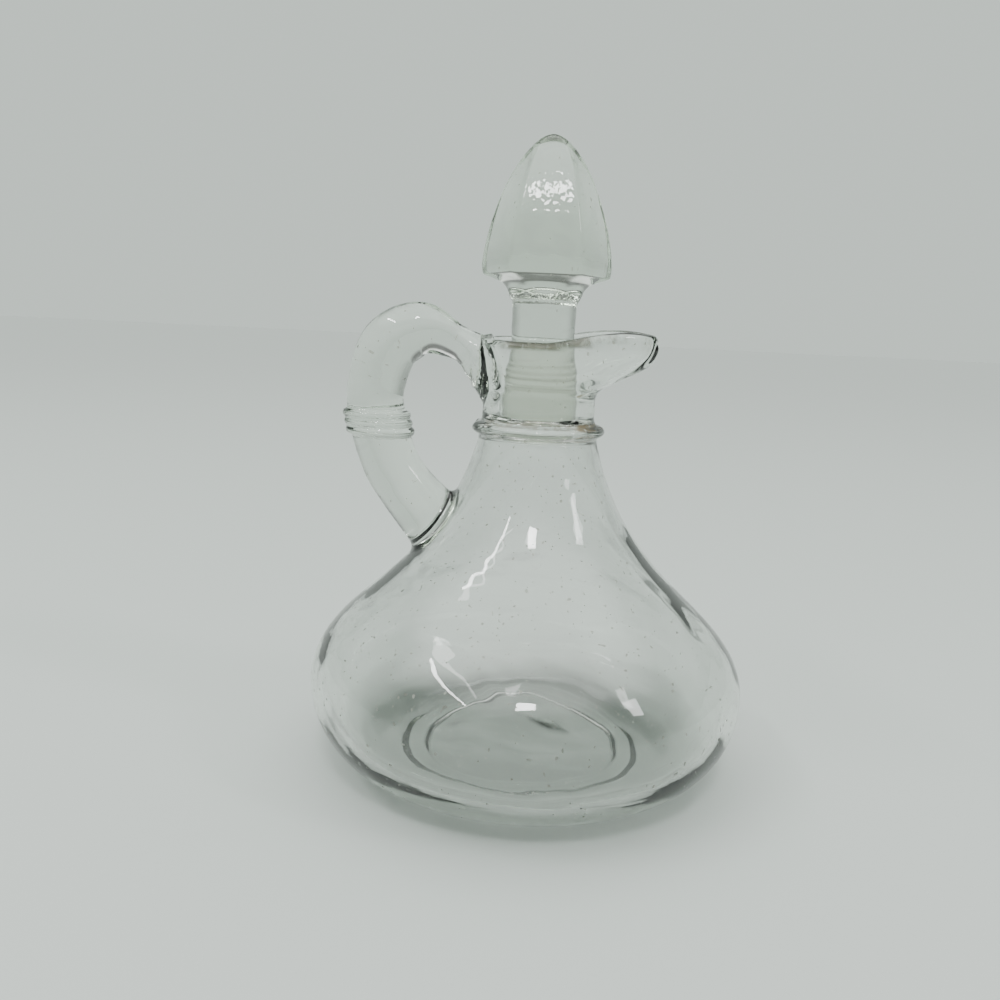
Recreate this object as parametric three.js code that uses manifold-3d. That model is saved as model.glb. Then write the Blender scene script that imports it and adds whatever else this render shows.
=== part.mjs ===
// Glass cruet with a pulled pouring lip, a loop handle and a six-sided stopper.
// Millimetres, +Z up, origin at the centre of the base. Handle towards -X, lip towards +X.
// The heights below count from the underside of the bowl; the foot ring stands FOOT_HEIGHT lower.
import * as THREE from "three";
import { mergeVertices } from "three/addons/utils/BufferGeometryUtils.js";
import Module from "manifold-3d";

const wasm = await Module();
wasm.setup();

// Resolution
const BODY_SIDES = 56;
const HANDLE_SIDES = 20;
const HANDLE_ROWS = 32;
const COLLAR_ARC_STEPS = 8;
const STOPPER_SIDES = 42;
const TOLERANCE = 1e-4;

// Bowl
const BOWL_RADIUS = 54;
const BOWL_WIDEST_Z = 20.2;
const HEEL_START = { r: 35.5, z: 0.5 };
const HEEL_FULLNESS = 2;
const HEEL_ROWS = 9;
const SHOULDER_RISE = 19.7;
const SHOULDER_FLARE = 9.8;
const SHOULDER_DROP = 39.4;
const SHOULDER_ROWS = 13;

// Foot ring and the pushed-up bottom inside it
const FOOT_HEIGHT = 1.5;
const FOOT_OUTER = 29.9;
const FOOT_INNER = 25.7;
const FOOT_FLARE = 1;
const FOOT_ROOT_Z = 0.1;
const PUNT_EDGE_Z = -0.6;
const PUNT_CENTRE_Z = -0.1;
const PUNT_MID = 0.5;

// Neck and the bead round its foot
const NECK_FOOT_RADIUS = 14.3;
const BEAD_RADIUS = 16.5;
const BEAD_Z = 83.5;
const BEAD_HALF_HEIGHT = 1.6;
const BEAD_ROWS = 6;
const NECK_RADIUS = 13.7;
const NECK_START_Z = 86.2;
const NECK_BEVEL = 0.5;
const LIP_START_Z = 88.5;

const BORE_RADIUS = 9.4;

// Mouth: back and side outline, then the pulled lip, outside and inside
const MOUTH_ROWS = 9;
const MOUTH_OUTER = [[NECK_RADIUS, LIP_START_Z], [13.8, 94], [14.1, 99.5], [14.9, 104]];
const LIP_OUTER = [[NECK_RADIUS, LIP_START_Z], [14.3, 92.9], [20, 96.3], [26, 99.7], [28.2, 103.4], [27.7, 106.4]];
const RIM_RING = [{ r: 14.2, z: 105.1, x: 27.1, peak: 107.4 }, { r: 13.3, z: 105.2, x: 26.4, peak: 107.4 }];
const MOUTH_INNER = [[12.6, 104.4], [11.9, 101], [10.6, 96.5], [BORE_RADIUS, 92]];
const LIP_INNER = [[25.9, 106.5], [25.6, 103.9], [23.6, 101], [18, 97.9], [12.6, 95], [BORE_RADIUS, 92]];
const LIP_NOSE_RADIUS = 8.5;
const LIP_WALL = 2.4;
const LIP_START_ANGLE = THREE.MathUtils.degToRad(88);
const LIP_FULL_ANGLE = THREE.MathUtils.degToRad(18);
const LIP_SHOULDER_LIFT = 6;
const RIM_TILT = 0.055;

// Inside of the bowl
const BORE_END_Z = 86.4;
const BORE_STEP = [11.6, 84.8];
const CAVITY_TOP = { r: 12.2, z: 82.4 };
const CAVITY_RADIUS = 51.2;
const CAVITY_RISE = 18;
const CAVITY_DROP = 38;
const CAVITY_FLARE = 8.6;
const CAVITY_ROWS = 10;
const FLOOR_RADIUS = 27;
const FLOOR_Z = 1.4;
const FLOOR_CENTRE_Z = 2;
const INNER_HEEL_FULLNESS = 2.05;
const INNER_HEEL_ROWS = 7;

// Handle: centre line in the XZ plane with the rod radius at each station, from the neck to the bowl
const HANDLE_LINE = [
  { x: -11.8, z: 98.2, r: 7.8 },
  { x: -14.9, z: 99.4, r: 6.2 },
  { x: -17.4, z: 101.7, r: 4.6 },
  { x: -21.2, z: 103.6, r: 4.3 },
  { x: -29.4, z: 106.1, r: 6.6 },
  { x: -37, z: 101.8, r: 7.3 },
  { x: -40.2, z: 91.5, r: 7.1 },
  { x: -39.4, z: 83.4, r: 7.1 },
  { x: -36.2, z: 73.6, r: 7.1 },
  { x: -32, z: 67.2, r: 7.2 },
  { x: -25.9, z: 60.4, r: 7.9 },
  { x: -20.5, z: 54.8, r: 8.4 },
];
const HANDLE_TRIM_WALL = 1.6;
const TRIM_TOP_Z = 119.6;
const HANDLE_ROOT_AXIS = new THREE.Vector3(-1, 0, 0);
const HANDLE_ROOT_SHARE = 0.12;
const HANDLE_ROOT_WIDTH = 0.78;
const COLLAR_COUNT = 3;
const COLLAR_PITCH = 2;
const COLLAR_TUBE = 1.2;
const COLLAR_RADIUS = 7.2;
const COLLAR_STATION = new THREE.Vector3(-39.5, 0, 83.2);
const COLLAR_AXIS = new THREE.Vector3(0.02, 0, 1).normalize();

// Stopper
const HEAD_CORNER_RADIUS = 15.9;
const HEAD_BLUNT = 0.975;
const HEAD_BAND_TOP_Z = 122;
const HEAD_BAND_BOTTOM_Z = 119.6;
const HEAD_BAND_BOTTOM_RADIUS = 15.6;
const HEAD_TOP_Z = 152;
const HEAD_ROWS = 11;
const OGIVE_POWER = 1.5;
const OGIVE_FULLNESS = 0.575;
const TIP_ROUND_FROM = 0.72;
const HEXAGON_SIDES = 6;
// radius, height, share of the hexagon in the section
const STOPPER_LOWER = [
  [7.9, 83.2, 0], [8.7, 83.6, 0], [8.95, 84.4, 0], [9.1, 92.4, 0], [8.6, 92.9, 0], [8.6, 93.4, 0], [9.1, 93.9, 0],
  [9.1, 94.9, 0], [8.55, 95.4, 0], [9.1, 96, 0], [8.7, 96.9, 0], [7.6, 102, 0], [7.6, 105, 0],
  [7.8, 113.2, 0], [8.1, 114.1, 0], [8.7, 114.5, 0], [8.8, 115, 0], [9.3, 116.6, 0.35],
  [10.8, 118, 0.8], [13.4, 118.9, 1],
];
const STOPPER_FOOT_Z = 83.5;

const GLASS = { color: 0xd5ddd6, roughness: 0.08, metalness: 0, transparent: true, opacity: 0.45 };

const lerp = THREE.MathUtils.lerp;
const smoothstep = THREE.MathUtils.smoothstep;

// A closed solid from a stack of equal rings; each end is closed by a fan to its centre.
function stackedSolid(rings, firstCentre, lastCentre) {
  const sides = rings[0].length;
  const points = rings.flat().concat([firstCentre, lastCentre]);
  const first = points.length - 2;
  const last = points.length - 1;
  const lastRow = (rings.length - 1) * sides;
  const index = [];
  for (let j = 0; j < sides; j += 1) {
    const k = (j + 1) % sides;
    index.push(first, k, j);
    index.push(last, lastRow + j, lastRow + k);
    for (let i = 0; i < rings.length - 1; i += 1) {
      const low = i * sides;
      const high = low + sides;
      index.push(low + j, low + k, high + k);
      index.push(low + j, high + k, high + j);
    }
  }
  const geometry = new THREE.BufferGeometry().setFromPoints(points);
  geometry.setIndex(index);
  return geometry;
}

function toManifold(geometry) {
  const bare = geometry.clone();
  bare.deleteAttribute("normal");
  bare.deleteAttribute("uv");
  const merged = mergeVertices(bare, TOLERANCE);
  const vertProperties = new Float32Array(merged.attributes.position.array);
  const triVerts = new Uint32Array(merged.index.array);
  return new wasm.Manifold(new wasm.Mesh({ numProp: 3, vertProperties, triVerts }));
}

function fromManifold(manifold) {
  const mesh = manifold.getMesh();
  const geometry = new THREE.BufferGeometry();
  geometry.setAttribute("position", new THREE.BufferAttribute(new Float32Array(mesh.vertProperties), 3));
  geometry.setIndex(Array.from(mesh.triVerts));
  return geometry;
}

// Circle in plan, drawn out to a rounded lip at +X where reach is more than the radius.
function mouthRing({ r, z, x = r, peak = z, nose = r, lift = 0, tilt = 0 }) {
  const ring = [];
  for (let j = 0; j < BODY_SIDES; j += 1) {
    const angle = (j / BODY_SIDES) * Math.PI * 2;
    const turn = Math.min(angle, Math.PI * 2 - angle);
    const pull = 1 - smoothstep(turn, LIP_FULL_ANGLE, LIP_START_ANGLE);
    const radius = lerp(r, nose, pull);
    const px = pull * (x - nose) + radius * Math.cos(angle);
    const py = radius * Math.sin(angle);
    const pz = lerp(z, peak, pull) + lift * pull * (1 - pull) + tilt * py;
    ring.push(new THREE.Vector3(px, py, pz));
  }
  return ring;
}

const plainRings = (profile) => profile.map((p) => mouthRing({ r: p.x, z: p.y }));
const vectors = (pairs) => pairs.map(([x, y]) => new THREE.Vector2(x, y));

// Quarter of a superellipse from (start.r, start.z) out to the widest radius.
function heelCurve(start, radius, z, fullness, rows) {
  const profile = [];
  for (let i = 0; i < rows; i += 1) {
    const a = (i / rows) * Math.PI * 0.5;
    const across = Math.sin(a) ** (2 / fullness);
    const drop = Math.cos(a) ** (2 / fullness);
    profile.push(new THREE.Vector2(lerp(start.r, radius, across), z - (z - start.z) * drop));
  }
  return profile;
}

function shoulderCurve(radius, z, topRadius, topZ, rise, flare, drop, rows) {
  const curve = new THREE.CubicBezierCurve(
    new THREE.Vector2(radius, z),
    new THREE.Vector2(radius, z + rise),
    new THREE.Vector2(topRadius + flare, topZ - drop),
    new THREE.Vector2(topRadius, topZ),
  );
  return curve.getPoints(rows);
}

function beadCurve() {
  const profile = [];
  for (let i = 1; i < BEAD_ROWS; i += 1) {
    const a = (i / BEAD_ROWS - 0.5) * Math.PI;
    const depth = BEAD_RADIUS - NECK_FOOT_RADIUS;
    profile.push(new THREE.Vector2(NECK_FOOT_RADIUS + depth * Math.cos(a), BEAD_Z + BEAD_HALF_HEIGHT * Math.sin(a)));
  }
  return profile;
}

function mouthRings(side, lip, noseStart, noseEnd, liftStart, liftEnd) {
  const sideCurve = new THREE.SplineCurve(vectors(side));
  const lipCurve = new THREE.SplineCurve(vectors(lip));
  const rings = [];
  for (let i = 0; i <= MOUTH_ROWS; i += 1) {
    const t = i / MOUTH_ROWS;
    const s = sideCurve.getPoint(t);
    const l = lipCurve.getPoint(t);
    const nose = lerp(noseStart, noseEnd, smoothstep(t, 0, 1));
    const weight = lerp(liftStart, liftEnd, t);
    rings.push(mouthRing({
      r: s.x, z: s.y, x: l.x, peak: l.y, nose, lift: LIP_SHOULDER_LIFT * weight, tilt: RIM_TILT * weight,
    }));
  }
  return rings;
}

function vesselSolid() {
  const underside = [
    new THREE.Vector2(FOOT_INNER * PUNT_MID, lerp(PUNT_CENTRE_Z, PUNT_EDGE_Z, PUNT_MID * PUNT_MID)),
    new THREE.Vector2(FOOT_INNER - FOOT_FLARE, PUNT_EDGE_Z),
    new THREE.Vector2(FOOT_INNER, -FOOT_HEIGHT),
    new THREE.Vector2(FOOT_OUTER, -FOOT_HEIGHT),
    new THREE.Vector2(FOOT_OUTER + FOOT_FLARE, FOOT_ROOT_Z),
  ];
  const heel = heelCurve(HEEL_START, BOWL_RADIUS, BOWL_WIDEST_Z, HEEL_FULLNESS, HEEL_ROWS);
  const shoulder = shoulderCurve(
    BOWL_RADIUS, BOWL_WIDEST_Z, NECK_FOOT_RADIUS, BEAD_Z - BEAD_HALF_HEIGHT,
    SHOULDER_RISE, SHOULDER_FLARE, SHOULDER_DROP, SHOULDER_ROWS,
  );
  const neck = [
    new THREE.Vector2(NECK_RADIUS + NECK_BEVEL, BEAD_Z + BEAD_HALF_HEIGHT),
    new THREE.Vector2(NECK_RADIUS, NECK_START_Z),
  ];
  const outer = plainRings([...underside, ...heel, ...shoulder, ...beadCurve(), ...neck]);
  const mouth = mouthRings(MOUTH_OUTER, LIP_OUTER, NECK_RADIUS, LIP_NOSE_RADIUS, 0, 1);
  const rim = RIM_RING.map((p, i) => mouthRing({
    ...p, nose: LIP_NOSE_RADIUS - LIP_WALL * (i + 1) / (RIM_RING.length + 1), lift: LIP_SHOULDER_LIFT, tilt: RIM_TILT,
  }));
  const funnel = mouthRings(MOUTH_INNER, LIP_INNER, LIP_NOSE_RADIUS - LIP_WALL, BORE_RADIUS, 1, 0);
  const cavity = shoulderCurve(
    CAVITY_RADIUS, BOWL_WIDEST_Z, CAVITY_TOP.r, CAVITY_TOP.z, CAVITY_RISE, CAVITY_FLARE, CAVITY_DROP, CAVITY_ROWS,
  ).reverse();
  const innerHeel = heelCurve(
    { r: FLOOR_RADIUS, z: FLOOR_Z }, CAVITY_RADIUS, BOWL_WIDEST_Z, INNER_HEEL_FULLNESS, INNER_HEEL_ROWS,
  ).reverse();
  const floor = [new THREE.Vector2(FLOOR_RADIUS * PUNT_MID, lerp(FLOOR_CENTRE_Z, FLOOR_Z, PUNT_MID * PUNT_MID))];
  const bore = vectors([[BORE_RADIUS, BORE_END_Z], BORE_STEP]);
  const inner = plainRings([...bore, ...cavity, ...innerHeel, ...floor]);
  return stackedSolid(
    [...outer, ...mouth, ...rim, ...funnel, ...inner],
    new THREE.Vector3(0, 0, PUNT_CENTRE_Z),
    new THREE.Vector3(0, 0, FLOOR_CENTRE_Z),
  );
}

function handleSolid() {
  const line = new THREE.CatmullRomCurve3(HANDLE_LINE.map((p) => new THREE.Vector3(p.x, p.r, p.z)));
  const side = new THREE.Vector3(0, 1, 0);
  const rings = [];
  const centres = [];
  for (let i = 0; i <= HANDLE_ROWS; i += 1) {
    const t = i / HANDLE_ROWS;
    const root = 1 - smoothstep(t, 0, HANDLE_ROOT_SHARE);
    const station = line.getPointAt(t);
    const tangent = line.getTangentAt(t).setY(0).normalize().lerp(HANDLE_ROOT_AXIS, root).normalize();
    const across = new THREE.Vector3().crossVectors(tangent, side);
    const halfWidth = station.y * lerp(1, HANDLE_ROOT_WIDTH, root);
    const centre = station.clone().setY(0);
    const ring = [];
    for (let j = 0; j < HANDLE_SIDES; j += 1) {
      const a = (j / HANDLE_SIDES) * Math.PI * 2;
      ring.push(centre.clone()
        .addScaledVector(across, -station.y * Math.cos(a))
        .addScaledVector(side, halfWidth * Math.sin(a)));
    }
    rings.push(ring);
    centres.push(centre);
  }
  return stackedSolid(rings, centres[0], centres[HANDLE_ROWS]);
}

// Middle of the glass wall turned solid: it trims the buried ends of the handle.
function wallCore() {
  const shoulder = shoulderCurve(
    BOWL_RADIUS - HANDLE_TRIM_WALL, BOWL_WIDEST_Z, NECK_FOOT_RADIUS - HANDLE_TRIM_WALL, BEAD_Z - BEAD_HALF_HEIGHT,
    SHOULDER_RISE, SHOULDER_FLARE, SHOULDER_DROP, SHOULDER_ROWS,
  );
  const top = new THREE.Vector2(NECK_RADIUS - HANDLE_TRIM_WALL, TRIM_TOP_Z);
  const rings = plainRings([...shoulder, top]);
  return stackedSolid(rings, new THREE.Vector3(0, 0, BOWL_WIDEST_Z), new THREE.Vector3(0, 0, top.y));
}

function collarSolid(step) {
  const torus = new THREE.TorusGeometry(COLLAR_RADIUS, COLLAR_TUBE, COLLAR_ARC_STEPS, HANDLE_SIDES);
  const turn = new THREE.Quaternion().setFromUnitVectors(new THREE.Vector3(0, 0, 1), COLLAR_AXIS);
  const offset = (step - (COLLAR_COUNT - 1) / 2) * COLLAR_PITCH;
  torus.applyQuaternion(turn);
  torus.translate(...COLLAR_STATION.clone().addScaledVector(COLLAR_AXIS, offset).toArray());
  return torus;
}

function bodyGeometry() {
  let handle = toManifold(handleSolid());
  for (let step = 0; step < COLLAR_COUNT; step += 1) {
    handle = handle.add(toManifold(collarSolid(step)));
  }
  const trimmed = handle.subtract(toManifold(wallCore()));
  return fromManifold(toManifold(vesselSolid()).add(trimmed));
}

// Section between a circle and a hexagon whose corners are slightly blunted; corners on the X axis.
function hexagonRing(corner, z, share) {
  const sector = (Math.PI * 2) / HEXAGON_SIDES;
  const ring = [];
  for (let j = 0; j < STOPPER_SIDES; j += 1) {
    const angle = (j / STOPPER_SIDES) * Math.PI * 2;
    const within = (angle % sector) - sector / 2;
    const flat = (corner * Math.cos(sector / 2)) / Math.cos(within);
    const radius = lerp(corner, Math.min(flat, corner * HEAD_BLUNT), share);
    ring.push(new THREE.Vector3(radius * Math.cos(angle), radius * Math.sin(angle), z));
  }
  return ring;
}

function stopperGeometry() {
  const rings = STOPPER_LOWER.map(([r, z, share]) => hexagonRing(r, z, share));
  rings.push(hexagonRing(HEAD_BAND_BOTTOM_RADIUS, HEAD_BAND_BOTTOM_Z, 1));
  for (let i = 0; i < HEAD_ROWS; i += 1) {
    const climb = Math.sin((i / HEAD_ROWS) * Math.PI * 0.5);
    const corner = HEAD_CORNER_RADIUS * (1 - climb ** OGIVE_POWER) ** OGIVE_FULLNESS;
    const share = 1 - smoothstep(climb, TIP_ROUND_FROM, 1);
    rings.push(hexagonRing(corner, lerp(HEAD_BAND_TOP_Z, HEAD_TOP_Z, climb), share));
  }
  return stackedSolid(rings, new THREE.Vector3(0, 0, STOPPER_FOOT_Z), new THREE.Vector3(0, 0, HEAD_TOP_Z));
}

function glassPiece(name, geometry) {
  geometry.translate(0, 0, FOOT_HEIGHT);
  geometry.computeVertexNormals();
  const mesh = new THREE.Mesh(geometry, new THREE.MeshStandardMaterial(GLASS));
  mesh.name = name;
  return mesh;
}

const cruet = new THREE.Group();
cruet.name = "glass_cruet";
cruet.add(glassPiece("cruet_body", bodyGeometry()));
cruet.add(glassPiece("stopper", stopperGeometry()));

export default cruet;
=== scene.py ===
"""Clear glass cruet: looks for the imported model. Lengths are millimetres until a mesh is made, then metres.

The handle points to -X, the pouring lip to +X, and the camera looks along +Y. The heights below count
from the underside of the bowl; the foot ring stands FOOT_HEIGHT lower and each piece is lifted onto it.
"""
import math

import bmesh
import bpy
import numpy as np
from mathutils import Matrix, Vector


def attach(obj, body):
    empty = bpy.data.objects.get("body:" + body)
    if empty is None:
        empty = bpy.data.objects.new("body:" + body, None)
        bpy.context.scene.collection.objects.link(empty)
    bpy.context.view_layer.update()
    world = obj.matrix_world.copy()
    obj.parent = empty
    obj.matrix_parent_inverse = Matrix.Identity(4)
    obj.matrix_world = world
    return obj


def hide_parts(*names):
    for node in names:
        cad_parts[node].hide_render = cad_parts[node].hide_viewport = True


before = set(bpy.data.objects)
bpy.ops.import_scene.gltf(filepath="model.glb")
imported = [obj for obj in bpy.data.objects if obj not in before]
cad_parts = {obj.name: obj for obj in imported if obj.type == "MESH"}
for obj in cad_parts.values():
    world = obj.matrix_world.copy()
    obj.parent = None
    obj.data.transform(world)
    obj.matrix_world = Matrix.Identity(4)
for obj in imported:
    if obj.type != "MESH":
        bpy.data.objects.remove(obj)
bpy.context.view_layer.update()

MM = 0.001
TAU = 2 * math.pi

# Bowl
BOWL_RADIUS = 54.0
BOWL_WIDEST_Z = 20.2
HEEL_START = (35.5, 0.5)
HEEL_FULLNESS = 2.0
SHOULDER_RISE = 19.7
SHOULDER_FLARE = 9.8
SHOULDER_DROP = 39.4

# Foot ring and the pushed-up bottom inside it
FOOT_HEIGHT = 1.5
FOOT_OUTER = 29.9
FOOT_INNER = 25.7
FOOT_FLARE = 1.0
FOOT_ROOT_Z = 0.1
PUNT_EDGE_Z = -0.6
PUNT_CENTRE_Z = -0.1
# Share of the drop from centre to edge that a parabola has made half way out
HALFWAY_DROP = 0.25

# Neck and its bead
NECK_FOOT_RADIUS = 14.3
BEAD_RADIUS = 16.5
BEAD_Z = 83.5
BEAD_HALF_HEIGHT = 1.6
NECK_RADIUS = 13.7
NECK_START_Z = 86.2
LIP_START_Z = 88.5
NECK_BEVEL = 0.5
BORE_RADIUS = 9.4

# Mouth: back and side outline as (radius, height), then the pulled lip as (reach, height)
MOUTH_OUTER = [(NECK_RADIUS, LIP_START_Z), (13.8, 94.0), (14.1, 99.5), (14.9, 104.0)]
LIP_OUTER = [
    (NECK_RADIUS, LIP_START_Z), (14.3, 92.9), (20.0, 96.3), (26.0, 99.7), (28.2, 103.4), (27.7, 106.4),
]
RIM_SIDE = [(14.2, 105.1), (13.3, 105.2)]
RIM_LIP = [(27.1, 107.4), (26.4, 107.4)]
MOUTH_INNER = [(12.6, 104.4), (11.9, 101.0), (10.6, 96.5), (BORE_RADIUS, 92.0)]
LIP_INNER = [(25.9, 106.5), (25.6, 103.9), (23.6, 101.0), (18.0, 97.9), (12.6, 95.0), (BORE_RADIUS, 92.0)]
LIP_NOSE_RADIUS = 8.5
LIP_WALL = 2.4
LIP_START_ANGLE = math.radians(88)
LIP_FULL_ANGLE = math.radians(18)
LIP_SHOULDER_LIFT = 6.0
RIM_TILT = 0.055

# Inside of the bowl
BORE_END_Z = 86.4
BORE_STEP = (11.6, 84.8)
CAVITY_TOP = (12.2, 82.4)
CAVITY_RADIUS = 51.2
CAVITY_RISE = 18.0
CAVITY_DROP = 38.0
CAVITY_FLARE = 8.6
FLOOR_RADIUS = 27.0
FLOOR_Z = 1.4
FLOOR_CENTRE_Z = 2.0
INNER_HEEL_FULLNESS = 2.05

# Handle: (x, z, rod radius) from the neck to the bowl
HANDLE_TOP_X = -29.4
HANDLE_LINE = [
    (-11.8, 98.2, 7.8), (-14.9, 99.4, 6.2), (-17.4, 101.7, 4.6), (-21.2, 103.6, 4.3),
    (HANDLE_TOP_X, 106.1, 6.6),
    (-37.0, 101.8, 7.3), (-40.2, 91.5, 7.1), (-39.4, 83.4, 7.1), (-36.2, 73.6, 7.1), (-32.0, 67.2, 7.2),
    (-25.9, 60.4, 7.9), (-20.5, 54.8, 8.4),
]
HANDLE_TRIM_WALL = 1.6
TRIM_TOP_Z = 119.6
HANDLE_ROOT_AXIS = (-1.0, 0.0)
HANDLE_ROOT_SHARE = 0.12
HANDLE_ROOT_WIDTH = 0.78
COLLAR_CENTRE = (-39.5, 83.2)
COLLAR_SLOPE = 0.02
COLLAR_COUNT = 3
COLLAR_PITCH = 2.0
COLLAR_HEIGHT = 1.2

# Smooth joints between handle and vessel
FUSE_RADIUS = 2.6
FUSE_TOP_Z = 104.5
FUSE_FADE = 3.0
FUSE_LEAST = 0.15
JOINT_ZONE = 3.6
JOINT_WALL = 1.0
JOINT_EDGE = 0.55
JOINT_SPLITS = 3
JOINT_PASSES = 8
PROJECT_STEPS = 3
SLOPE_STEP = 0.02
SLOPE_LEAST = 0.2

# Stopper
HEAD_CORNER_RADIUS = 15.9
HEAD_CORNER_POWER = 34
HEAD_BAND_TOP_Z = 122.0
HEAD_BAND_BOTTOM_Z = 119.6
HEAD_BAND_BOTTOM_RADIUS = 15.6
HEAD_TOP_Z = 152.0
OGIVE_POWER = 1.5
OGIVE_FULLNESS = 0.575
TIP_ROUND_FROM = 0.72
HEXAGON_SIDES = 6
STOPPER_FOOT_Z = 83.5
# radius, height, share of the hexagon in the section
STOPPER_LOWER = [
    (7.9, 83.2, 0), (8.7, 83.6, 0), (8.95, 84.4, 0), (9.1, 92.4, 0), (8.6, 92.9, 0), (8.6, 93.4, 0),
    (9.1, 93.9, 0), (9.1, 94.9, 0), (8.55, 95.4, 0), (9.1, 96.0, 0), (8.7, 96.9, 0), (7.6, 102.0, 0),
    (7.6, 105.0, 0),
    (7.8, 113.2, 0), (8.1, 114.1, 0), (8.7, 114.5, 0), (8.8, 115.0, 0), (9.3, 116.6, 0.35),
    (10.8, 118.0, 0.8), (13.4, 118.9, 1),
]

# Mesh resolution
BODY_SIDES = 168
STOPPER_SIDES = 240
HANDLE_SIDES = 56
HANDLE_ROWS = 260
HANDLE_FINENESS = 8
PROFILE_FINENESS = 4
CURVE_ROWS = 90
FINE_STEP = 0.45
COARSE_STEP = 1.1
SOFTEN_PASSES = 2
POLE_RADIUS = 0.6

# Hand-made unevenness: long waves on the inside, shallow hollows and ripples on the whole skin
WAVE_WALL = 0.24
WAVE_WALL_LENGTH = 26.0
WAVE_WALL_FADE = 14.0
WAVE_WALL_LOW = (10.0, 30.0)
WAVE_FLOOR = 0.15
WAVE_FLOOR_LENGTH = 12.0
WAVE_FLOOR_EDGE = (19.0, 26.0)
UNEVEN_DEPTH = 0.16
UNEVEN_LENGTH = 17.0
UNEVEN_RANGE = 1.5
UNEVEN_LOW = (2.0, 8.0)
RIPPLE_DEPTH = 0.014
RIPPLE_LENGTH = 4.2
WALL_SEED = 7
FLOOR_SEED = 8
SKIN_SEED = 9
RIPPLE_SEED = 10
WAVE_COUNT = 14
WAVE_SPREAD = (0.7, 1.6)

# Glass: lengths in millimetres, noise scales per millimetre
GLASS_TINT = (0.975, 0.99, 0.98, 1)
GLASS_IOR = 1.5
ABSORPTION_COLOR = (0.72, 0.81, 0.69, 1)
ABSORPTION_DENSITY = 30.0
SPECK_SCALE = 0.9
SPECK_DETAIL = 0.0
SPECK_RANGE = (0.80, 0.84)
SPECK_COLOR = (0.62, 0.60, 0.53, 1)
SPECK_ROUGHNESS = 0.5
SMUDGE_SCALE = 0.05
SMUDGE_DETAIL = 3.0
SMUDGE_RANGE = (0.5, 0.7)
SMUDGE_ROUGHNESS = 0.06
STAIN_SCALE = 0.8
STAIN_DETAIL = 3.0
STAIN_ROUGHNESS = 0.4
STAIN_SIDE_SPREAD = 4.0
BEAD_STAIN = (0.36, 0.22, 0.11, 1)
# Dark brown: a real stain on the rim and lip, and painted shade where it darkens the plug's grooves
RIM_STAIN_AND_GROOVE_SHADE = (0.20, 0.17, 0.11, 1)
PLUG_STAIN = (0.80, 0.78, 0.71, 1)
STREAK_STRETCH = (0.03, 0.03, 0.9)
STREAK_DETAIL = 2.0
STREAK_ZONE = (16.0, 6.0)
STREAK_HEIGHT = 0.03
# Limits below all values of the noise: no patches, the whole box is stained
EVEN_FILM = (-1.0, 0.0)
# box as x, y and z ranges, soft edge, noise limits of the patches, colour, share of the colour
BODY_STAINS = [
    (((8.5, 20.0), (-18.0, -1.0), (84.2, 85.8)), 0.35, (0.30, 0.46), BEAD_STAIN, 1.0),
    (((-16.0, 8.5), (-18.0, -3.0), (84.5, 85.7)), 0.3, (0.42, 0.56), BEAD_STAIN, 0.6),
    (((-9.0, 4.0), (-19.0, -6.0), (102.7, 107.0)), 0.5, (0.30, 0.48), RIM_STAIN_AND_GROOVE_SHADE, 0.9),
    (((4.0, 11.0), (-19.0, -6.0), (103.5, 107.0)), 0.5, (0.32, 0.50), RIM_STAIN_AND_GROOVE_SHADE, 0.8),
    (((11.0, 19.0), (-17.0, -3.0), (104.8, 108.0)), 0.5, (0.40, 0.60), RIM_STAIN_AND_GROOVE_SHADE, 0.4),
    (((25.0, 33.0), (-6.0, 6.0), (101.0, 106.0)), 0.8, (0.40, 0.60), RIM_STAIN_AND_GROOVE_SHADE, 0.3),
]
STOPPER_STAINS_AND_GROOVE_SHADE = [
    (((-14.0, 14.0), (-14.0, 14.0), (83.0, 104.0)), 0.8, EVEN_FILM, PLUG_STAIN, 0.6),
    # Painted shade: these two bands darken the plug's grooves, which the smoothed mesh keeps too shallow to
    # show
    (((-14.0, 14.0), (-14.0, 14.0), (92.7, 93.6)), 0.25, (-1.0, 0.6), RIM_STAIN_AND_GROOVE_SHADE, 0.55),
    (((-14.0, 14.0), (-14.0, 14.0), (95.1, 95.8)), 0.25, (-1.0, 0.6), RIM_STAIN_AND_GROOVE_SHADE, 0.55),
    (((-6.0, 6.0), (-6.0, 6.0), (149.5, 153.0)), 0.8, (0.2, 0.5), RIM_STAIN_AND_GROOVE_SHADE, 0.25),
]
# box as x, y and z ranges, soft edge, roughness
BODY_ROUGH_ZONES = [
    (((-15.0, 29.0), (-16.0, 16.0), (104.6, 109.0)), 0.3, 0.06),
]
STOPPER_ROUGH_ZONES = [
    (((-12.0, 12.0), (-12.0, 12.0), (113.6, 115.4)), 0.3, 0.12),
    (((-6.5, 6.5), (-20.0, -4.0), (133.0, 141.5)), 1.0, 0.03),
    (((-10.0, 10.0), (-10.0, 10.0), (83.0, 104.0)), 1.0, 0.09),
]
MIX_COLOR_INPUTS = (0, 6, 7)
MIX_COLOR_OUTPUT = 2

# Stage, in metres: pale floor that runs into the lower sky, a grey band above it and a bright top.
# The sky's heights and sides are shares of the unit sphere.
FLOOR_HALF_SIZE = 40.0
FLOOR_GAP = 0.0001
FLOOR_COLOR = (0.67, 0.735, 0.695)
SKY_TONE = (0.745, 0.835, 0.775)
SKY_BAND = 0.2
SKY_LOW_END = 0.40
SKY_BAND_START = 0.50
SKY_BAND_END = 0.64
SKY_HIGH_START = 0.78
SKY_STEPS = 2001
# Both sides of the room fade to a darker tone, which draws the thin lines at the edges of upright glass
SIDE_START = 0.5
SIDE_END = 1.0
SIDE_SHADE = 0.32
LIGHT_TARGET = (0.0, 0.0, 0.07)
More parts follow.
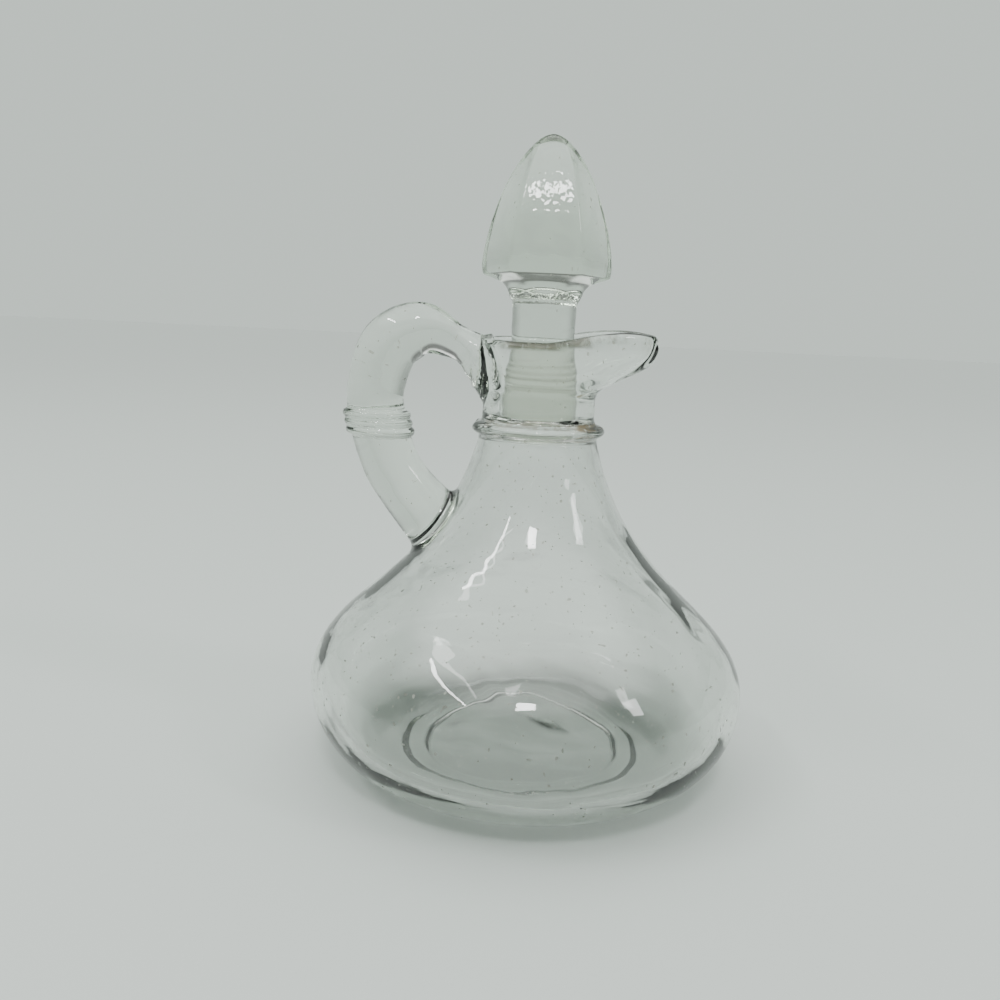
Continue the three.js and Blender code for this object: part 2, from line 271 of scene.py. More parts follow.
# name, start, end, width, power in watts
LAMPS = [
    ("tube_left", (-0.89, -0.10, 1.2), (-0.69, -1.0, 1.2), 0.04, 5.0),
    ("window_right", (1.7, -0.80, 1.1), (1.2, -0.45, 1.2), 0.20, 5.5),
    ("lamp_front", (-0.07, -0.87, 1.1), (0.11, -0.87, 1.1), 0.15, 4.5),
]

# Rough spots of the stopper: box as x, y and z ranges, then the depth of the grain
GRAIN_SEED = 11
GRAIN_SPOTS = [
    (((-12.0, 12.0), (-12.0, 12.0), (113.8, 115.2)), 0.15),
    (((-6.5, 6.5), (-20.0, -4.0), (133.0, 142.0)), 0.045),
]

# Camera solved from the photograph, in a 1000 x 1000 frame
CAMERA_DISTANCE = 220.6
CAMERA_HEIGHT = 106.6
CAMERA_PITCH = math.radians(10.26)
CAMERA_YAW = math.radians(-2.19)
CAMERA_ROLL = math.radians(2.74)
FOCAL_PIXELS = 900.0
FRAME_PIXELS = 1000.0
SENSOR_WIDTH = 36.0
CAMERA_NEAR = 10.0


def lerp(a, b, t):
    return a + (b - a) * t


def smoothstep(x, low, high):
    t = np.clip((x - low) / (high - low), 0.0, 1.0)
    return t * t * (3.0 - 2.0 * t)


def spline(points, t):
    """Uniform Catmull-Rom through the points, for t from 0 to 1."""
    p = np.asarray(points, float)
    place = np.asarray(t, float) * (len(p) - 1)
    i = np.clip(place.astype(int), 0, len(p) - 2)
    w = (place - i)[:, None]
    before, start = p[np.maximum(i - 1, 0)], p[i]
    end, after = p[i + 1], p[np.minimum(i + 2, len(p) - 1)]
    v0, v1 = (end - before) * 0.5, (after - start) * 0.5
    cubic, square = 2 * start - 2 * end + v0 + v1, -3 * start + 3 * end - 2 * v0 - v1
    return cubic * w**3 + square * w**2 + v0 * w + start


def resample(stations, step):
    """The same polyline of stations with rows at an even distance of about step."""
    stations = np.asarray(stations, float)
    length = np.r_[0.0, np.cumsum(np.linalg.norm(np.diff(stations[:, :2], axis=0), axis=1))]
    count = max(2, int(round(length[-1] / step)) + 1)
    along = np.linspace(0.0, length[-1], count)
    return np.stack([np.interp(along, length, column) for column in stations.T], axis=1)


def plain_stations(profile, step):
    """Stations of round sections: radius, height, reach, peak, nose, lift, tilt."""
    profile = resample(profile, step)
    r, z = profile.T
    return np.stack([r, z, r, z, r, 0 * r, 0 * r], axis=1)


def heel_curve(start, radius, z, fullness):
    a = np.linspace(0.0, math.pi / 2, CURVE_ROWS)
    across = np.sin(a) ** (2 / fullness)
    drop = np.cos(a).clip(0) ** (2 / fullness)
    return np.stack([lerp(start[0], radius, across), z - (z - start[1]) * drop], axis=1)


def shoulder_curve(radius, z, top_radius, top_z, rise, flare, drop):
    t = np.linspace(0.0, 1.0, CURVE_ROWS)[:, None]
    p0, p1 = np.array([radius, z]), np.array([radius, z + rise])
    p2, p3 = np.array([top_radius + flare, top_z - drop]), np.array([top_radius, top_z])
    return (1 - t) ** 3 * p0 + 3 * t * (1 - t) ** 2 * p1 + 3 * t * t * (1 - t) * p2 + t**3 * p3


def outer_shoulder(inset=0.0):
    """The outside of the shoulder, moved towards the axis by the inset."""
    return shoulder_curve(
        BOWL_RADIUS - inset, BOWL_WIDEST_Z, NECK_FOOT_RADIUS - inset, BEAD_Z - BEAD_HALF_HEIGHT,
        SHOULDER_RISE, SHOULDER_FLARE, SHOULDER_DROP,
    )


def bead_curve():
    a = np.linspace(-math.pi / 2, math.pi / 2, CURVE_ROWS)
    depth = BEAD_RADIUS - NECK_FOOT_RADIUS
    return np.stack([NECK_FOOT_RADIUS + depth * np.cos(a), BEAD_Z + BEAD_HALF_HEIGHT * np.sin(a)], axis=1)


def mouth_stations(side, lip, nose_start, nose_end, weight_start, weight_end):
    t = np.linspace(0.0, 1.0, CURVE_ROWS // 2)
    weight = lerp(weight_start, weight_end, t)
    nose = lerp(nose_start, nose_end, smoothstep(t, 0.0, 1.0))
    return np.column_stack([
        spline(side, t), spline(lip, t), nose, LIP_SHOULDER_LIFT * weight, RIM_TILT * weight,
    ])


def rim_stations():
    count = len(RIM_SIDE)
    nose = [LIP_NOSE_RADIUS - LIP_WALL * (i + 1) / (count + 1) for i in range(count)]
    return np.column_stack([
        RIM_SIDE, RIM_LIP, nose, np.full(count, LIP_SHOULDER_LIFT), np.full(count, RIM_TILT),
    ])


def mouth_rings(stations, sides):
    """Circles in plan, drawn out to a rounded lip at +X where the reach is more than the radius."""
    r, z, x, peak, nose, lift, tilt = (column[:, None] for column in stations.T)
    angle = np.arange(sides)[None, :] * TAU / sides
    turn = np.minimum(angle, TAU - angle)
    pull = 1.0 - smoothstep(turn, LIP_FULL_ANGLE, LIP_START_ANGLE)
    radius = lerp(r, nose, pull)
    px = pull * (x - nose) + radius * np.cos(angle)
    py = radius * np.sin(angle)
    pz = lerp(z, peak, pull) + lift * pull * (1.0 - pull) + tilt * py
    return np.stack([px, py, pz], axis=2)


def soften(stations):
    """Rounds sharp turns between neighbouring rows, as fire polishing does."""
    for _ in range(SOFTEN_PASSES):
        stations[1:-1] = (stations[:-2] + 2 * stations[1:-1] + stations[2:]) / 4
    return stations


def waves(points, length, seed):
    """Smooth seeded unevenness between about -1 and 1."""
    rng = np.random.default_rng(seed)
    directions = rng.normal(size=(WAVE_COUNT, 3))
    directions /= np.linalg.norm(directions, axis=1)[:, None]
    scale = TAU / (length * rng.uniform(*WAVE_SPREAD, WAVE_COUNT))
    phase = rng.uniform(0.0, TAU, WAVE_COUNT)
    return np.sin(points @ (directions * scale[:, None]).T + phase).sum(axis=-1) / math.sqrt(WAVE_COUNT)


def stacked_mesh(name, rings, first_centre, last_centre):
    """A closed mesh from equal rings, with a fan at each end."""
    rows, sides, _ = rings.shape
    points = np.concatenate([rings.reshape(-1, 3), [first_centre, last_centre]]) * MM
    first, last = rows * sides, rows * sides + 1
    j = np.arange(sides)
    k = (j + 1) % sides
    faces = [(first, b, a) for a, b in zip(j, k)]
    top = (rows - 1) * sides
    faces += [(last, top + a, top + b) for a, b in zip(j, k)]
    for i in range(rows - 1):
        low, high = i * sides, (i + 1) * sides
        faces += [(low + a, low + b, high + b, high + a) for a, b in zip(j, k)]
    mesh = bpy.data.meshes.new(name)
    mesh.from_pydata(points.tolist(), [], [tuple(int(v) for v in face) for face in faces])
    mesh.update()
    piece = bpy.data.objects.new(name, mesh)
    bpy.context.scene.collection.objects.link(piece)
    return piece


def vessel_piece():
    underside = [
        (POLE_RADIUS, PUNT_CENTRE_Z), (FOOT_INNER / 2, lerp(PUNT_CENTRE_Z, PUNT_EDGE_Z, HALFWAY_DROP)),
        (FOOT_INNER - FOOT_FLARE, PUNT_EDGE_Z), (FOOT_INNER, -FOOT_HEIGHT), (FOOT_OUTER, -FOOT_HEIGHT),
        (FOOT_OUTER + FOOT_FLARE, FOOT_ROOT_Z), HEEL_START,
    ]
    heel = heel_curve(HEEL_START, BOWL_RADIUS, BOWL_WIDEST_Z, HEEL_FULLNESS)
    neck = [
        (NECK_RADIUS + NECK_BEVEL, BEAD_Z + BEAD_HALF_HEIGHT), (NECK_RADIUS, NECK_START_Z),
        (NECK_RADIUS, LIP_START_Z),
    ]
    outer = np.concatenate([
        plain_stations(underside, FINE_STEP),
        plain_stations(heel, COARSE_STEP)[1:],
        plain_stations(outer_shoulder(), COARSE_STEP)[1:],
        plain_stations(bead_curve(), FINE_STEP)[1:],
        plain_stations(neck, FINE_STEP),
    ])
    mouth = np.concatenate([
        mouth_stations(MOUTH_OUTER, LIP_OUTER, NECK_RADIUS, LIP_NOSE_RADIUS, 0, 1),
        resample(rim_stations(), FINE_STEP),
        mouth_stations(MOUTH_INNER, LIP_INNER, LIP_NOSE_RADIUS - LIP_WALL, BORE_RADIUS, 1, 0),
    ])
    bore = [(BORE_RADIUS, MOUTH_INNER[-1][1]), (BORE_RADIUS, BORE_END_Z), BORE_STEP, CAVITY_TOP]
    cavity = shoulder_curve(
        CAVITY_RADIUS, BOWL_WIDEST_Z, *CAVITY_TOP, CAVITY_RISE, CAVITY_FLARE, CAVITY_DROP,
    )[::-1]
    floor_edge = (FLOOR_RADIUS, FLOOR_Z)
    inner_heel = heel_curve(floor_edge, CAVITY_RADIUS, BOWL_WIDEST_Z, INNER_HEEL_FULLNESS)[::-1]
    floor = [
        floor_edge, (FLOOR_RADIUS / 2, lerp(FLOOR_CENTRE_Z, FLOOR_Z, HALFWAY_DROP)),
        (POLE_RADIUS, FLOOR_CENTRE_Z),
    ]
    inner = np.concatenate([
        plain_stations(bore, FINE_STEP)[1:],
        plain_stations(cavity, COARSE_STEP)[1:],
        plain_stations(inner_heel, COARSE_STEP)[1:],
        plain_stations(floor, COARSE_STEP)[1:],
    ])
    stations = soften(np.concatenate([outer, mouth[1:], inner]))
    rings = mouth_rings(stations, BODY_SIDES)
    inside = np.arange(len(stations)) >= len(stations) - len(inner)
    below_bore = smoothstep(BORE_END_Z - stations[:, 1], 0.0, WAVE_WALL_FADE)
    on_wall = below_bore * smoothstep(stations[:, 1], *WAVE_WALL_LOW) * inside
    low = inside * (stations[:, 1] < WAVE_WALL_LOW[0])
    on_floor = (1 - smoothstep(stations[:, 0], *WAVE_FLOOR_EDGE)) * low
    reach = np.linalg.norm(rings[:, :, :2], axis=2, keepdims=True)
    outward = rings[:, :, :2] / np.maximum(reach, POLE_RADIUS)
    wall_wave = waves(rings, WAVE_WALL_LENGTH, WALL_SEED) * WAVE_WALL * on_wall[:, None]
    floor_wave = waves(rings, WAVE_FLOOR_LENGTH, FLOOR_SEED) * WAVE_FLOOR * on_floor[:, None]
    rings[:, :, :2] += outward * wall_wave[:, :, None]
    rings[:, :, 2] += floor_wave
    return stacked_mesh("glass_vessel", rings, (0, 0, PUNT_CENTRE_Z), (0, 0, rings[-1, :, 2].mean()))


def handle_frames():
    """Centres, section axes, half heights and half widths along the handle, evenly spaced."""
    dense = spline(HANDLE_LINE, np.linspace(0.0, 1.0, HANDLE_ROWS * HANDLE_FINENESS))
    length = np.linalg.norm(np.diff(dense[:, :2], axis=0), axis=1).sum()
    x, z, radius = resample(dense, length / HANDLE_ROWS).T
    t = np.linspace(0.0, 1.0, len(x))
    root = 1.0 - smoothstep(t, 0.0, HANDLE_ROOT_SHARE)
    tangent = np.stack([np.gradient(x), np.gradient(z)], axis=1)
    tangent /= np.linalg.norm(tangent, axis=1)[:, None]
    axis = lerp(tangent, np.array(HANDLE_ROOT_AXIS), root[:, None])
    axis /= np.linalg.norm(axis, axis=1)[:, None]
    up = np.stack([-axis[:, 1], axis[:, 0]], axis=1)
    return np.stack([x, z], axis=1), up, radius, radius * lerp(1.0, HANDLE_ROOT_WIDTH, root)


def collar_bumps(x, z):
    """How far the level pinched rings stand out of the rod at each of its points."""
    height = z - COLLAR_CENTRE[1] + COLLAR_SLOPE * (x - COLLAR_CENTRE[0])
    height = np.where(x < HANDLE_TOP_X, height, np.inf)
    bump = np.zeros_like(height)
    for i in range(COLLAR_COUNT):
        offset = height - (i - (COLLAR_COUNT - 1) / 2) * COLLAR_PITCH
        bump = np.maximum(bump, np.sqrt(np.maximum(COLLAR_HEIGHT**2 - offset**2, 0.0)))
    return bump


def handle_piece(centres, up, high, wide):
    angle = np.arange(HANDLE_SIDES) * TAU / HANDLE_SIDES
    offset = high[:, None] * np.cos(angle)
    bump = collar_bumps(centres[:, :1] + up[:, :1] * offset, centres[:, 1:] + up[:, 1:] * offset)
    offset += bump * np.cos(angle)
    x, z = centres[:, :1] + up[:, :1] * offset, centres[:, 1:] + up[:, 1:] * offset
    y = -(wide[:, None] + bump) * np.sin(angle)
    rings = np.stack([x, y, z], axis=2)
    ends = [(centres[i, 0], 0.0, centres[i, 1]) for i in (0, -1)]
    return stacked_mesh("glass_handle", rings, *ends)


def wall_core():
    """Middle of the glass wall turned solid: it trims the buried ends of the handle."""
    top = (NECK_RADIUS - HANDLE_TRIM_WALL, TRIM_TOP_Z)
    rings = mouth_rings(plain_stations([*outer_shoulder(HANDLE_TRIM_WALL), top], COARSE_STEP), BODY_SIDES)
    return stacked_mesh("wall_core", rings, (0, 0, BOWL_WIDEST_Z), (0, 0, top[1]))


def combine(piece, tool, operation):
    """Boolean of two closed meshes; the tool is used up."""
    modifier = piece.modifiers.new(operation, "BOOLEAN")
    modifier.operation = operation
    modifier.solver = "MANIFOLD"
    modifier.object = tool
    graph = bpy.context.evaluated_depsgraph_get()
    mesh = bpy.data.meshes.new_from_object(piece.evaluated_get(graph))
    piece.modifiers.clear()
    piece.data = mesh
    bpy.data.objects.remove(tool)


def vessel_distance(p):
    """Rough distance of points to the outside of the round part of the vessel."""
    shoulder = outer_shoulder()
    neck = spline(MOUTH_OUTER, np.linspace(0.0, 1.0, len(shoulder)))
    profile = np.concatenate([shoulder, neck])
    height = np.linspace(profile[0, 1], profile[-1, 1], PROFILE_FINENESS * len(profile))
    radius = np.interp(height, profile[:, 1], profile[:, 0])
    slope = np.gradient(radius, height)
    r = np.hypot(p[:, 0], p[:, 1])
    return (r - np.interp(p[:, 2], height, radius)) / np.sqrt(1.0 + np.interp(p[:, 2], height, slope) ** 2)


def handle_distance(p, centres, up, high, wide):
    """Rough distance of points to the handle's rod, without its rings."""
    gap = p[:, None, [0, 2]] - centres[None]
    near = (gap**2).sum(axis=2).argmin(axis=1)
    axis = np.stack([up[:, 1], -up[:, 0]], axis=1)
    along = (gap * axis[None]).sum(axis=2)
    rows = np.arange(len(p))
    low = np.where(along[rows, near] < 0, near - 1, near).clip(0, len(centres) - 2)
    step = along[rows, low] - along[rows, low + 1]
    share = (along[rows, low] / np.where(step > 0, step, 1.0)).clip(0.0, 1.0)

    def between(values):
        weight = share.reshape(-1, *[1] * (values.ndim - 1))
        return lerp(values[low], values[low + 1], weight)

    height, width = between(high), between(wide)
    offset = ((p[:, [0, 2]] - between(centres)) * between(up)).sum(axis=1)
    return (np.hypot(offset / height, p[:, 1] / width) - 1.0) * np.minimum(height, width)


def fused_distance(p, handle):
    """Smooth union of vessel and handle, zero on the fused surface; it turns sharp at the rim."""
    a, b = vessel_distance(p), handle_distance(p, *handle)
    fade = smoothstep(FUSE_TOP_Z - p[:, 2], 0.0, FUSE_FADE)
    radius = lerp(FUSE_LEAST, FUSE_RADIUS, fade)
    blend = np.maximum(radius - np.abs(a - b), 0.0)
    return np.minimum(a, b) - blend**2 / (4 * radius)


def joint_zone(points, handle):
    """Marks the points on the outside of the glass where handle and vessel meet."""
    marked = np.zeros(len(points), bool)
    reach = np.flatnonzero(
        (points[:, 0] < 0) & (points[:, 2] > BOWL_WIDEST_Z) & (points[:, 2] < FUSE_TOP_Z)
        & (np.abs(points[:, 1]) < NECK_RADIUS)
    )
    a, b = vessel_distance(points[reach]), handle_distance(points[reach], *handle)
    close = (np.abs(a - b) < JOINT_ZONE) & (np.minimum(np.abs(a), np.abs(b)) < FUSE_RADIUS)
    marked[reach] = (a > -JOINT_WALL) & close
    return marked


def drop_double_faces(work):
    """Removes pairs of faces that lie back to back on the same corners."""
    found = {}
    for face in work.faces:
        found.setdefault(frozenset(face.verts), []).append(face)
    doubled = [face for faces in found.values() for face in faces[:len(faces) // 2 * 2]]
    bmesh.ops.delete(work, geom=doubled, context="FACES")


def split_joint_edges(mesh, handle):
    """Splits the long edges round both handle joints, so that the joints can bend smoothly."""
    work = bmesh.new()
    work.from_mesh(mesh)
    for _ in range(JOINT_SPLITS):
        marked = joint_zone(np.array([tuple(v.co) for v in work.verts]) / MM, handle)
        edges = [
            e for e in work.edges
            if e.calc_length() > JOINT_EDGE * MM and (marked[e.verts[0].index] or marked[e.verts[1].index])
        ]
        bmesh.ops.subdivide_edges(work, edges=edges, cuts=1)
        bmesh.ops.triangulate(work, faces=[f for f in work.faces if len(f.verts) > 3])
        drop_double_faces(work)
        work.verts.index_update()
    work.to_mesh(mesh)
    work.free()


def project(points, handle):
    """Moves points onto the fused surface."""
    for _ in range(PROJECT_STEPS):
        value = fused_distance(points, handle)
        change = [
            fused_distance(points + side, handle) - fused_distance(points - side, handle)
            for side in np.eye(3) * SLOPE_STEP
        ]
        slope = np.stack(change, axis=1) / (2 * SLOPE_STEP)
        points -= (value / np.maximum((slope**2).sum(axis=1), SLOPE_LEAST))[:, None] * slope
    return points


def read_vectors(mesh, attribute):
    """Positions or normals of the vertices, one per row."""
    flat = np.empty(3 * len(mesh.vertices))
    mesh.vertices.foreach_get(attribute, flat)
    return flat.reshape(-1, 3)


def fuse_joints(piece, handle):
    """Draws the surface round both handle joints onto the smooth union, in even steps."""
    mesh = piece.data
    split_joint_edges(mesh, handle)
    points = read_vectors(mesh, "co") / MM
    edges = np.empty(2 * len(mesh.edges), int)
    mesh.edges.foreach_get("vertices", edges)
    edges = edges.reshape(-1, 2)
    count = np.bincount(edges.ravel(), minlength=len(points))[:, None]
    marked = joint_zone(points, handle)
    for _ in range(JOINT_PASSES):
        total = np.zeros_like(points)
        np.add.at(total, edges[:, 0], points[edges[:, 1]])
        np.add.at(total, edges[:, 1], points[edges[:, 0]])
        points[marked] = project((points[marked] + (total / count)[marked]) / 2, handle)
    mesh.vertices.foreach_set("co", (points * MM).ravel())
    mesh.update()


def finish_skin(piece, spots=()):
    """Makes the skin slightly uneven, roughens the spots and lifts the piece onto the foot."""
    mesh = piece.data
    points = read_vectors(mesh, "co") / MM
    normals = read_vectors(mesh, "normal")
    wave = waves(points, UNEVEN_LENGTH, SKIN_SEED).clip(-UNEVEN_RANGE, UNEVEN_RANGE)
    sunk = UNEVEN_DEPTH * ((wave + UNEVEN_RANGE) / (2 * UNEVEN_RANGE))
    ripple = waves(points, RIPPLE_LENGTH, RIPPLE_SEED).clip(-UNEVEN_RANGE, UNEVEN_RANGE)
    sunk += RIPPLE_DEPTH * (ripple + UNEVEN_RANGE)
    sunk *= smoothstep(points[:, 2], *UNEVEN_LOW)
    rng = np.random.default_rng(GRAIN_SEED)
    for box, depth in spots:
        low, high = np.transpose(box)
        here = ((points > low) & (points < high)).all(axis=1)
        sunk += here * rng.uniform(0.0, 2 * depth, len(points))
    points -= sunk[:, None] * normals
    points[:, 2] += FOOT_HEIGHT
    mesh.vertices.foreach_set("co", (points * MM).ravel())
    mesh.polygons.foreach_set("use_smooth", [True] * len(mesh.polygons))
    mesh.update()


def cruet_piece():
    handle = handle_frames()
    rod = handle_piece(*handle)
    combine(rod, wall_core(), "DIFFERENCE")
    vessel = vessel_piece()
    combine(vessel, rod, "UNION")
    fuse_joints(vessel, handle)
    finish_skin(vessel)
    return vessel


def hexagon(angle):
    """Radius of a hexagon with a corner radius of one and slightly rounded corners on the X axis."""
    facets = (np.arange(HEXAGON_SIDES) + 0.5) * TAU / HEXAGON_SIDES
    facing = np.cos(angle[:, None] - facets).clip(0.0)
    rounded = (facing**HEAD_CORNER_POWER).sum(axis=1) ** (1 / HEAD_CORNER_POWER)
    return math.cos(math.pi / HEXAGON_SIDES) / rounded


def stopper_piece():
    climb = np.sin(np.linspace(0.0, math.pi / 2, CURVE_ROWS)[:-1])
    ogive = np.stack([
        HEAD_CORNER_RADIUS * (1 - climb**OGIVE_POWER) ** OGIVE_FULLNESS,
        lerp(HEAD_BAND_TOP_Z, HEAD_TOP_Z, climb),
        1 - smoothstep(climb, TIP_ROUND_FROM, 1.0),
    ], axis=1)
    band_bottom = (HEAD_BAND_BOTTOM_RADIUS, HEAD_BAND_BOTTOM_Z, 1)
    lower = [(POLE_RADIUS, STOPPER_FOOT_Z, 0), *STOPPER_LOWER, band_bottom]
    stations = soften(resample(np.concatenate([lower, ogive]), FINE_STEP))
    angle = np.arange(STOPPER_SIDES) * TAU / STOPPER_SIDES
    r, z, share = (column[:, None] for column in stations.T)
    radius = r * lerp(1.0, hexagon(angle)[None, :], share)
    rings = np.stack([radius * np.cos(angle), radius * np.sin(angle), z + 0 * radius], axis=2)
    piece = stacked_mesh("glass_stopper", rings, (0, 0, STOPPER_FOOT_Z), (0, 0, HEAD_TOP_Z))
    finish_skin(piece, GRAIN_SPOTS)
    return piece


def node_output(tree, kind, output, inputs=None, settings=None):
    """Adds a node, fills its inputs with values or links, and gives one of its outputs."""
    node = tree.nodes.new(kind)
    for name, value in (settings or {}).items():
        setattr(node, name, value)
    for name, value in (inputs or {}).items():
        if isinstance(value, bpy.types.NodeSocket):
            tree.links.new(value, node.inputs[name])
        else:
            node.inputs[name].default_value = value
    return node.outputs[output]


def rise(tree, value, low, high):
    """Goes smoothly from 0 at low to 1 at high."""
    limits = {"Value": value, "From Min": low, "From Max": high}
    return node_output(tree, "ShaderNodeMapRange", "Result", limits, {"interpolation_type": "SMOOTHSTEP"})


def calculate(tree, operation, a, b):
    return node_output(tree, "ShaderNodeMath", "Value", {0: a, 1: b}, {"operation": operation})


def product(tree, *factors):
    result = factors[0]
    for factor in factors[1:]:
        result = calculate(tree, "MULTIPLY", result, factor)
    return result


def within(tree, value, low, high, edge):
    """One between low and high, with soft edges."""
    above = rise(tree, value, low - edge, low + edge)
    below = rise(tree, value, high + edge, high - edge)
    return product(tree, above, below)


def stretched(tree, position, scale):
    return node_output(tree, "ShaderNodeMapping", "Vector", {"Vector": position, "Scale": scale})


def noise(tree, position, scale, detail):
    inputs = {"Vector": position, "Scale": scale, "Detail": detail}
    return node_output(tree, "ShaderNodeTexNoise", "Fac", inputs)


def tinted(tree, color, factor, stain_and_shade):
    mix = tree.nodes.new("ShaderNodeMix")
    mix.data_type = "RGBA"
    factor_socket, color_a, color_b = (mix.inputs[i] for i in MIX_COLOR_INPUTS)
    tree.links.new(factor, factor_socket)
    color_b.default_value = stain_and_shade
    if isinstance(color, bpy.types.NodeSocket):
        tree.links.new(color, color_a)
    else:
        color_a.default_value = color
    return mix.outputs[MIX_COLOR_OUTPUT]


def glass_material(name, stains_and_shade, rough_zones):
    """Clear glass with smudges, specks, the listed stains and, on the stopper, painted shade in the plug
    grooves, rough zones and fine streaks round the heel.
    """
    material = bpy.data.materials.new(name)
    material.use_nodes = True
    tree = material.node_tree
    shader = tree.nodes["Principled BSDF"]
    own_space = node_output(tree, "ShaderNodeTexCoord", "Object")
    position = node_output(
        tree, "ShaderNodeMapping", "Vector",
        {"Vector": own_space, "Scale": (1 / MM, 1 / MM, 1 / MM), "Location": (0.0, 0.0, -FOOT_HEIGHT)},
    )
    split = tree.nodes.new("ShaderNodeSeparateXYZ")
    tree.links.new(position, split.inputs["Vector"])
    axes = (split.outputs["X"], split.outputs["Y"], split.outputs["Z"])

    def zone(box, edge, side_edge):
        ranges = zip(axes, box, (side_edge, side_edge, edge))
        return product(tree, *[within(tree, axis, *limits, soft) for axis, limits, soft in ranges])

    smudges = rise(tree, noise(tree, position, SMUDGE_SCALE, SMUDGE_DETAIL), *SMUDGE_RANGE)
    specks = rise(tree, noise(tree, position, SPECK_SCALE, SPECK_DETAIL), *SPECK_RANGE)
    patches = noise(tree, position, STAIN_SCALE, STAIN_DETAIL)
    color = tinted(tree, GLASS_TINT, specks, SPECK_COLOR)
    roughness = calculate(
        tree, "MAXIMUM", product(tree, smudges, SMUDGE_ROUGHNESS), product(tree, specks, SPECK_ROUGHNESS),
    )
    # Real stains, and on the stopper painted shade in the plug grooves, tint the colour here
    for box, edge, limits, stain_and_shade_color, share in stains_and_shade:
        patch = zone(box, edge, edge * STAIN_SIDE_SPREAD)
        stain_and_shade = product(tree, patch, rise(tree, patches, *limits), share)
        color = tinted(tree, color, stain_and_shade, stain_and_shade_color)
        roughness = calculate(tree, "MAXIMUM", roughness, product(tree, stain_and_shade, STAIN_ROUGHNESS))
    for box, edge, matt in rough_zones:
        roughness = calculate(tree, "MAXIMUM", roughness, product(tree, zone(box, edge, edge), matt))

    streaks = noise(tree, stretched(tree, position, STREAK_STRETCH), 1.0, STREAK_DETAIL)
    height = product(tree, streaks, rise(tree, axes[2], *STREAK_ZONE), STREAK_HEIGHT)
    relief = {"Height": height, "Distance": MM, "Strength": 1.0}
    bump = node_output(tree, "ShaderNodeBump", "Normal", relief)

    tree.links.new(color, shader.inputs["Base Color"])
    tree.links.new(roughness, shader.inputs["Roughness"])
    tree.links.new(bump, shader.inputs["Normal"])
    shader.inputs["IOR"].default_value = GLASS_IOR
    shader.inputs["Transmission Weight"].default_value = 1.0
    absorbed = {"Color": ABSORPTION_COLOR, "Density": ABSORPTION_DENSITY}
    volume = node_output(tree, "ShaderNodeVolumeAbsorption", "Volume", absorbed)
    tree.links.new(volume, tree.nodes["Material Output"].inputs["Volume"])
    return material


def stage_floor():
    h = FLOOR_HALF_SIZE
    mesh = bpy.data.meshes.new("floor")
    mesh.from_pydata([(-h, -h, 0), (h, -h, 0), (h, h, 0), (-h, h, 0)], [], [(0, 1, 2, 3)])
    floor = bpy.data.objects.new("floor", mesh)
    floor.location = (0, 0, -FLOOR_GAP)
    bpy.context.scene.collection.objects.link(floor)
    material = bpy.data.materials.new("floor")
    material.use_nodes = True
    shader = material.node_tree.nodes["Principled BSDF"]
    shader.inputs["Base Color"].default_value = (*FLOOR_COLOR, 1)
    shader.inputs["Roughness"].default_value = 1.0
    shader.inputs["Specular IOR Level"].default_value = 0.0
    floor.data.materials.append(material)


def area_light(name, start, end, width, power):
    """A long lamp from start to end in metres, facing the cruet."""
    start, end = Vector(start), Vector(end)
    light = bpy.data.lights.new(name, "AREA")
    light.shape = "RECTANGLE"
    light.size = (end - start).length
    light.size_y = width
    light.energy = power
    lamp = bpy.data.objects.new(name, light)
    middle = (start + end) / 2
    along = (end - start).normalized()
    back = (middle - Vector(LIGHT_TARGET)).normalized()
    across = back.cross(along).normalized()
    turn = Matrix((along, across, along.cross(across))).transposed().to_4x4()
    lamp.matrix_world = Matrix.Translation(middle) @ turn
    bpy.context.scene.collection.objects.link(lamp)


def sky_stops():
    """Heights on the unit sphere with their colours; the top is as bright as the far floor needs."""
    tone, color = np.array(SKY_TONE), np.array(FLOOR_COLOR)
    heights = np.linspace(0.0, 1.0, SKY_STEPS)
    bends = [SKY_LOW_END, SKY_BAND_START, SKY_BAND_END, SKY_HIGH_START]
    low = np.interp(heights, bends, [1, 0, 0, 0])
    band = np.interp(heights, bends, [0, 1, 1, 0])
    high = 1 - low - band
    low_share, band_share, high_share = ((weight * 2 * heights).mean() for weight in (low, band, high))
    top = (tone / color - tone * low_share - SKY_BAND * band_share) / high_share
    return [
        (0.0, tone), (SKY_LOW_END, tone), (SKY_BAND_START, np.full(3, SKY_BAND)),
        (SKY_BAND_END, np.full(3, SKY_BAND)), (SKY_HIGH_START, top),
    ]


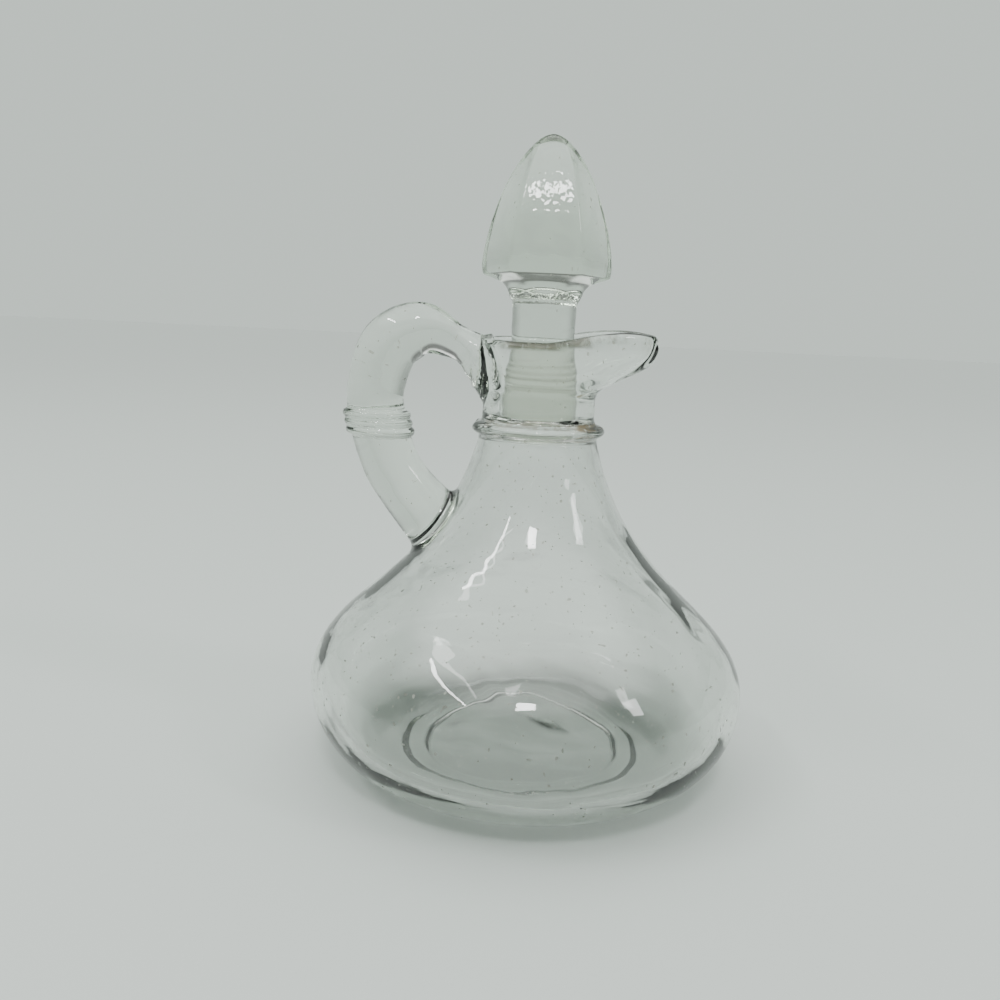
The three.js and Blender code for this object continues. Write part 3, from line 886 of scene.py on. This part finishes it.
def make_world():
    world = bpy.data.worlds.new("studio")
    world.use_nodes = True
    bpy.context.scene.world = world
    tree = world.node_tree
    direction = node_output(tree, "ShaderNodeTexCoord", "Generated")
    split = tree.nodes.new("ShaderNodeSeparateXYZ")
    tree.links.new(direction, split.inputs["Vector"])
    ramp = tree.nodes.new("ShaderNodeValToRGB")
    stops = sky_stops()
    top = max(stops[-1][1])
    elements = ramp.color_ramp.elements
    for position, color in stops[1:-1]:
        elements.new(position).color = (*(color / top), 1)
    elements[0].color = (*(stops[0][1] / top), 1)
    elements[-1].position = SKY_HIGH_START
    elements[-1].color = (*(stops[-1][1] / top), 1)
    tree.links.new(split.outputs["Z"], ramp.inputs["Fac"])
    aside = rise(tree, calculate(tree, "ABSOLUTE", split.outputs["X"], 0.0), SIDE_START, SIDE_END)
    shade = calculate(tree, "SUBTRACT", 1.0, product(tree, aside, 1 - SIDE_SHADE))
    background = tree.nodes["Background"]
    tree.links.new(ramp.outputs["Color"], background.inputs["Color"])
    tree.links.new(product(tree, shade, float(top)), background.inputs["Strength"])


def make_camera():
    pitch, yaw, roll = CAMERA_PITCH, CAMERA_YAW, CAMERA_ROLL
    forward = Vector((math.sin(yaw) * math.cos(pitch), math.cos(yaw) * math.cos(pitch), -math.sin(pitch)))
    level_right = forward.cross(Vector((0, 0, 1))).normalized()
    level_up = level_right.cross(forward)
    right = level_right * math.cos(roll) + level_up * math.sin(roll)
    up = level_up * math.cos(roll) - level_right * math.sin(roll)
    data = bpy.data.cameras.new("camera")
    data.sensor_width = SENSOR_WIDTH
    data.lens = FOCAL_PIXELS / FRAME_PIXELS * SENSOR_WIDTH
    data.clip_start = CAMERA_NEAR * MM
    camera = bpy.data.objects.new("camera", data)
    turn = Matrix((right, up, -forward)).transposed().to_4x4()
    camera.matrix_world = Matrix.Translation((0, -CAMERA_DISTANCE * MM, CAMERA_HEIGHT * MM)) @ turn
    bpy.context.scene.collection.objects.link(camera)
    bpy.context.scene.camera = camera


make_camera()
make_world()
stage_floor()

body = cruet_piece()
body.data.materials.clear()
body.data.materials.append(glass_material("clear_glass", BODY_STAINS, BODY_ROUGH_ZONES))
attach(body, "root")
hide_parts("cruet_body")

stopper = stopper_piece()
stopper.data.materials.append(glass_material("stopper_glass", STOPPER_STAINS_AND_GROOVE_SHADE, STOPPER_ROUGH_ZONES))
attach(stopper, "root")
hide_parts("stopper")

for lamp in LAMPS:
    area_light(*lamp)
